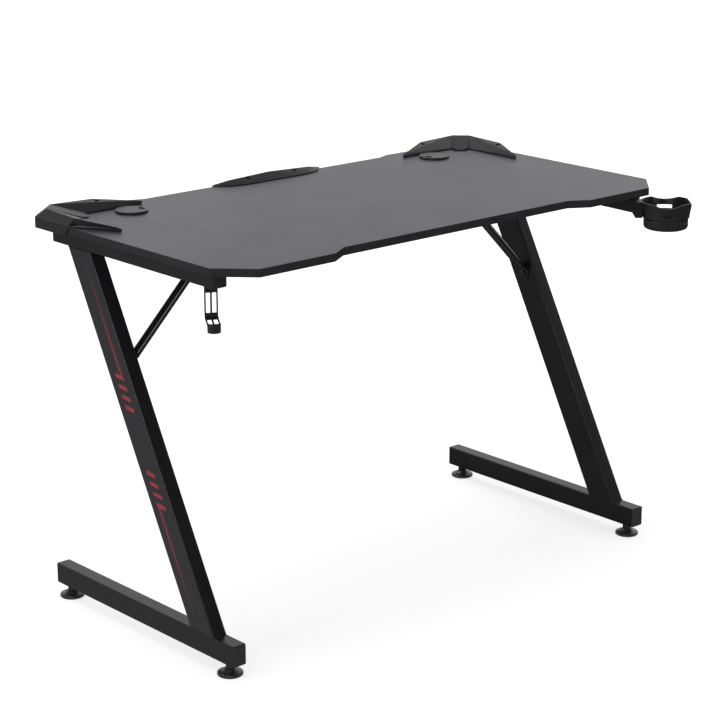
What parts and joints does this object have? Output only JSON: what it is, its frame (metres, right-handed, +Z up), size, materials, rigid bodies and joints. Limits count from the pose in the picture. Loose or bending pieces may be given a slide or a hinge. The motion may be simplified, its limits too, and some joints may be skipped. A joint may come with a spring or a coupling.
{
  "type": "gaming desk",
  "caption": "Gaming desk: dark board with cut corners on Z-shaped steel side frames, with faceted back guards, turning cable lids, a cup holder, a headphone hook and levelling feet.",
  "frame": {"origin": "on the floor under the middle of the tabletop", "axes": "+X to the right of a person at the desk, +Y to the back, +Z up"},
  "size_m": [1.1498, 0.6398, 0.765],
  "materials": {
    "laminate": "satin laminate",
    "black_steel": "satin powder coat",
    "gloss_steel": "gloss paint",
    "cap_plastic": "matte",
    "guard_plastic": "fine grain",
    "black_plastic": "fine grain",
    "zinc_steel": "zinc",
    "pad_plastic": "matte"
  },
  "bodies": {
    "desk": {"tabletop": "laminate", "crossbeam": "black_steel", "crossbeam_plate_left": "black_steel", "crossbeam_plate_right": "black_steel", "upper_rail_left": "black_steel", "leg_post_left": "black_steel", "foot_rail_left": "black_steel", "upper_rail_right": "black_steel", "leg_post_right": "black_steel", "foot_rail_right": "black_steel", "brace_left": "gloss_steel", "brace_right": "gloss_steel", "upper_cap_left_front": "cap_plastic", "upper_cap_left_back": "cap_plastic", "foot_cap_left_front": "cap_plastic", "foot_cap_left_back": "cap_plastic", "upper_cap_right_front": "cap_plastic", "upper_cap_right_back": "cap_plastic", "foot_cap_right_front": "cap_plastic", "foot_cap_right_back": "cap_plastic", "corner_guard_left": "guard_plastic", "corner_guard_right": "guard_plastic", "centre_guard": "guard_plastic", "grommet_sleeve_left": "black_plastic", "grommet_sleeve_right": "black_plastic", "cup_holder_arm": "black_plastic", "cup_holder_bowl": "black_plastic", "headphone_hook": "black_plastic", "crossbeam_bolts": "zinc_steel", "brace_leg_bolts": "zinc_steel", "brace_beam_bolts": "zinc_steel", "tabletop_screws": "zinc_steel", "guard_screws": "zinc_steel", "cup_holder_screws": "zinc_steel", "hook_screws": "zinc_steel", "foot_bushes": "zinc_steel"},
    "foot_left_front": {"foot_pad_left_front": "pad_plastic", "foot_stud_left_front": "zinc_steel"},
    "foot_left_back": {"foot_pad_left_back": "pad_plastic", "foot_stud_left_back": "zinc_steel"},
    "foot_right_front": {"foot_pad_right_front": "pad_plastic", "foot_stud_right_front": "zinc_steel"},
    "foot_right_back": {"foot_pad_right_back": "pad_plastic", "foot_stud_right_back": "zinc_steel"},
    "lid_left": {"grommet_lid_left": "black_plastic"},
    "lid_right": {"grommet_lid_right": "black_plastic"}
  },
  "joints": [
    {"name": "level_left_front", "type": "slide", "parent": "desk", "child": "foot_left_front", "axis": [0, 0, 1], "range_m": [-0.012, 0.002]},
    {"name": "level_left_back", "type": "slide", "parent": "desk", "child": "foot_left_back", "axis": [0, 0, 1], "range_m": [-0.012, 0.002]},
    {"name": "level_right_front", "type": "slide", "parent": "desk", "child": "foot_right_front", "axis": [0, 0, 1], "range_m": [-0.012, 0.002]},
    {"name": "level_right_back", "type": "slide", "parent": "desk", "child": "foot_right_back", "axis": [0, 0, 1], "range_m": [-0.012, 0.002]},
    {"name": "lid_turn_left", "type": "hinge", "parent": "desk", "child": "lid_left", "pos_m": [-0.388, 0.208, 0.745], "axis": [0, 0, 1], "continuous": true},
    {"name": "lid_turn_right", "type": "hinge", "parent": "desk", "child": "lid_right", "pos_m": [0.388, 0.208, 0.745], "axis": [0, 0, 1], "continuous": true}
  ]
}
